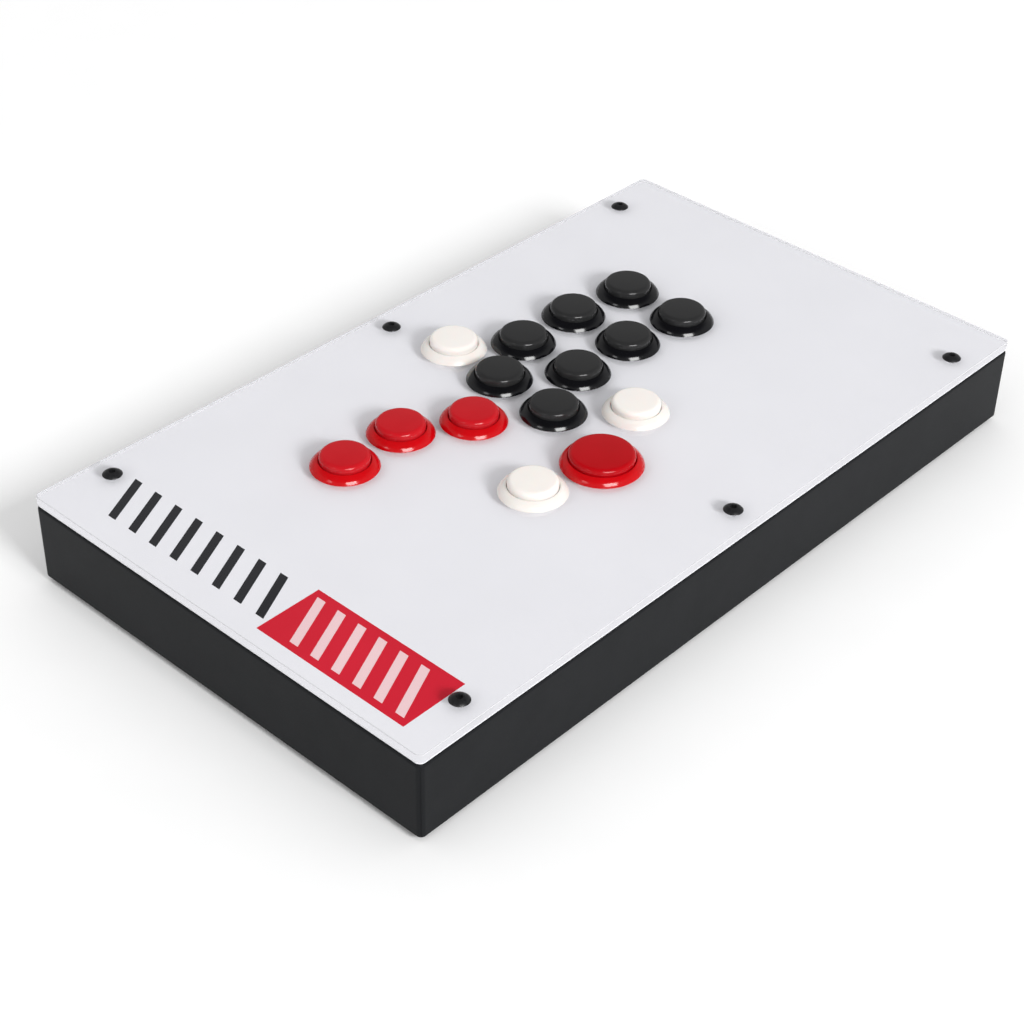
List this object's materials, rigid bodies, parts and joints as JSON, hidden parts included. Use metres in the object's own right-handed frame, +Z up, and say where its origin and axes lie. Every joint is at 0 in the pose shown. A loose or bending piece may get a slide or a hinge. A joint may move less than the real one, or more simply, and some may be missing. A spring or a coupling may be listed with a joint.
{
  "type": "leverless arcade controller",
  "caption": "Flat rectangular arcade control panel with round snap-in pushbuttons, a clear screwed-on cover over a white printed sheet, and a black steel case.",
  "frame": {"origin": "on the table under the middle of the case, at the level of the feet's soles", "axes": "+X along the long side to the player's right, +Y away from the player towards the socket side, +Z up"},
  "size_m": [0.36, 0.208, 0.0471],
  "materials": {
    "case_paint": "satin black powder coat",
    "base_paint": "satin black powder coat",
    "print_white": "white printed film",
    "clear_acrylic": "clear polished acrylic",
    "circuit_board": "solder mask",
    "screw_black": "black oxide",
    "foot_rubber": "matt",
    "bezel_red": "gloss",
    "bezel_black": "gloss",
    "bezel_white": "gloss",
    "cap_red": "satin",
    "cap_black": "satin",
    "cap_white": "satin",
    "switch_body": "moulded"
  },
  "bodies": {
    "case": {"case_shell": "case_paint", "base_plate": "base_paint", "printed_sheet": "print_white", "cover_plate": "clear_acrylic", "encoder_board": "circuit_board", "cover_screw_1": "screw_black", "cover_screw_2": "screw_black", "cover_screw_3": "screw_black", "cover_screw_4": "screw_black", "cover_screw_5": "screw_black", "cover_screw_6": "screw_black", "foot_1": "foot_rubber", "foot_2": "foot_rubber", "foot_3": "foot_rubber", "foot_4": "foot_rubber", "housing_left": "bezel_red", "housing_down": "bezel_red", "housing_right": "bezel_red", "housing_jump": "bezel_red", "housing_action_1": "bezel_black", "housing_action_2": "bezel_black", "housing_action_3": "bezel_black", "housing_action_4": "bezel_black", "housing_action_5": "bezel_black", "housing_action_6": "bezel_black", "housing_action_7": "bezel_black", "housing_action_8": "bezel_black", "housing_option_1": "bezel_white", "housing_option_2": "bezel_white", "housing_option_3": "bezel_white", "switch_left": "switch_body", "switch_down": "switch_body", "switch_right": "switch_body", "switch_jump": "switch_body", "switch_action_1": "switch_body", "switch_action_2": "switch_body", "switch_action_3": "switch_body", "switch_action_4": "switch_body", "switch_action_5": "switch_body", "switch_action_6": "switch_body", "switch_action_7": "switch_body", "switch_action_8": "switch_body", "switch_option_1": "switch_body", "switch_option_2": "switch_body", "switch_option_3": "switch_body"},
    "button_left": {"plunger_left": "cap_red"},
    "button_down": {"plunger_down": "cap_red"},
    "button_right": {"plunger_right": "cap_red"},
    "button_jump": {"plunger_jump": "cap_red"},
    "button_action_1": {"plunger_action_1": "cap_black"},
    "button_action_2": {"plunger_action_2": "cap_black"},
    "button_action_3": {"plunger_action_3": "cap_black"},
    "button_action_4": {"plunger_action_4": "cap_black"},
    "button_action_5": {"plunger_action_5": "cap_black"},
    "button_action_6": {"plunger_action_6": "cap_black"},
    "button_action_7": {"plunger_action_7": "cap_black"},
    "button_action_8": {"plunger_action_8": "cap_black"},
    "button_option_1": {"plunger_option_1": "cap_white"},
    "button_option_2": {"plunger_option_2": "cap_white"},
    "button_option_3": {"plunger_option_3": "cap_white"}
  },
  "joints": [
    {"name": "press_left", "type": "slide", "parent": "case", "child": "button_left", "axis": [0, 0, -1], "range_m": [0, 0.0022], "stiffness_N_per_m": 350, "springref_m": -0.0015},
    {"name": "press_down", "type": "slide", "parent": "case", "child": "button_down", "axis": [0, 0, -1], "range_m": [0, 0.0022], "stiffness_N_per_m": 350, "springref_m": -0.0015},
    {"name": "press_right", "type": "slide", "parent": "case", "child": "button_right", "axis": [0, 0, -1], "range_m": [0, 0.0022], "stiffness_N_per_m": 350, "springref_m": -0.0015},
    {"name": "press_jump", "type": "slide", "parent": "case", "child": "button_jump", "axis": [0, 0, -1], "range_m": [0, 0.0022], "stiffness_N_per_m": 350, "springref_m": -0.0015},
    {"name": "press_action_1", "type": "slide", "parent": "case", "child": "button_action_1", "axis": [0, 0, -1], "range_m": [0, 0.0022], "stiffness_N_per_m": 350, "springref_m": -0.0015},
    {"name": "press_action_2", "type": "slide", "parent": "case", "child": "button_action_2", "axis": [0, 0, -1], "range_m": [0, 0.0022], "stiffness_N_per_m": 350, "springref_m": -0.0015},
    {"name": "press_action_3", "type": "slide", "parent": "case", "child": "button_action_3", "axis": [0, 0, -1], "range_m": [0, 0.0022], "stiffness_N_per_m": 350, "springref_m": -0.0015},
    {"name": "press_action_4", "type": "slide", "parent": "case", "child": "button_action_4", "axis": [0, 0, -1], "range_m": [0, 0.0022], "stiffness_N_per_m": 350, "springref_m": -0.0015},
    {"name": "press_action_5", "type": "slide", "parent": "case", "child": "button_action_5", "axis": [0, 0, -1], "range_m": [0, 0.0022], "stiffness_N_per_m": 350, "springref_m": -0.0015},
    {"name": "press_action_6", "type": "slide", "parent": "case", "child": "button_action_6", "axis": [0, 0, -1], "range_m": [0, 0.0022], "stiffness_N_per_m": 350, "springref_m": -0.0015},
    {"name": "press_action_7", "type": "slide", "parent": "case", "child": "button_action_7", "axis": [0, 0, -1], "range_m": [0, 0.0022], "stiffness_N_per_m": 350, "springref_m": -0.0015},
    {"name": "press_action_8", "type": "slide", "parent": "case", "child": "button_action_8", "axis": [0, 0, -1], "range_m": [0, 0.0022], "stiffness_N_per_m": 350, "springref_m": -0.0015},
    {"name": "press_option_1", "type": "slide", "parent": "case", "child": "button_option_1", "axis": [0, 0, -1], "range_m": [0, 0.0022], "stiffness_N_per_m": 350, "springref_m": -0.0015},
    {"name": "press_option_2", "type": "slide", "parent": "case", "child": "button_option_2", "axis": [0, 0, -1], "range_m": [0, 0.0022], "stiffness_N_per_m": 350, "springref_m": -0.0015},
    {"name": "press_option_3", "type": "slide", "parent": "case", "child": "button_option_3", "axis": [0, 0, -1], "range_m": [0, 0.0022], "stiffness_N_per_m": 350, "springref_m": -0.0015}
  ]
}
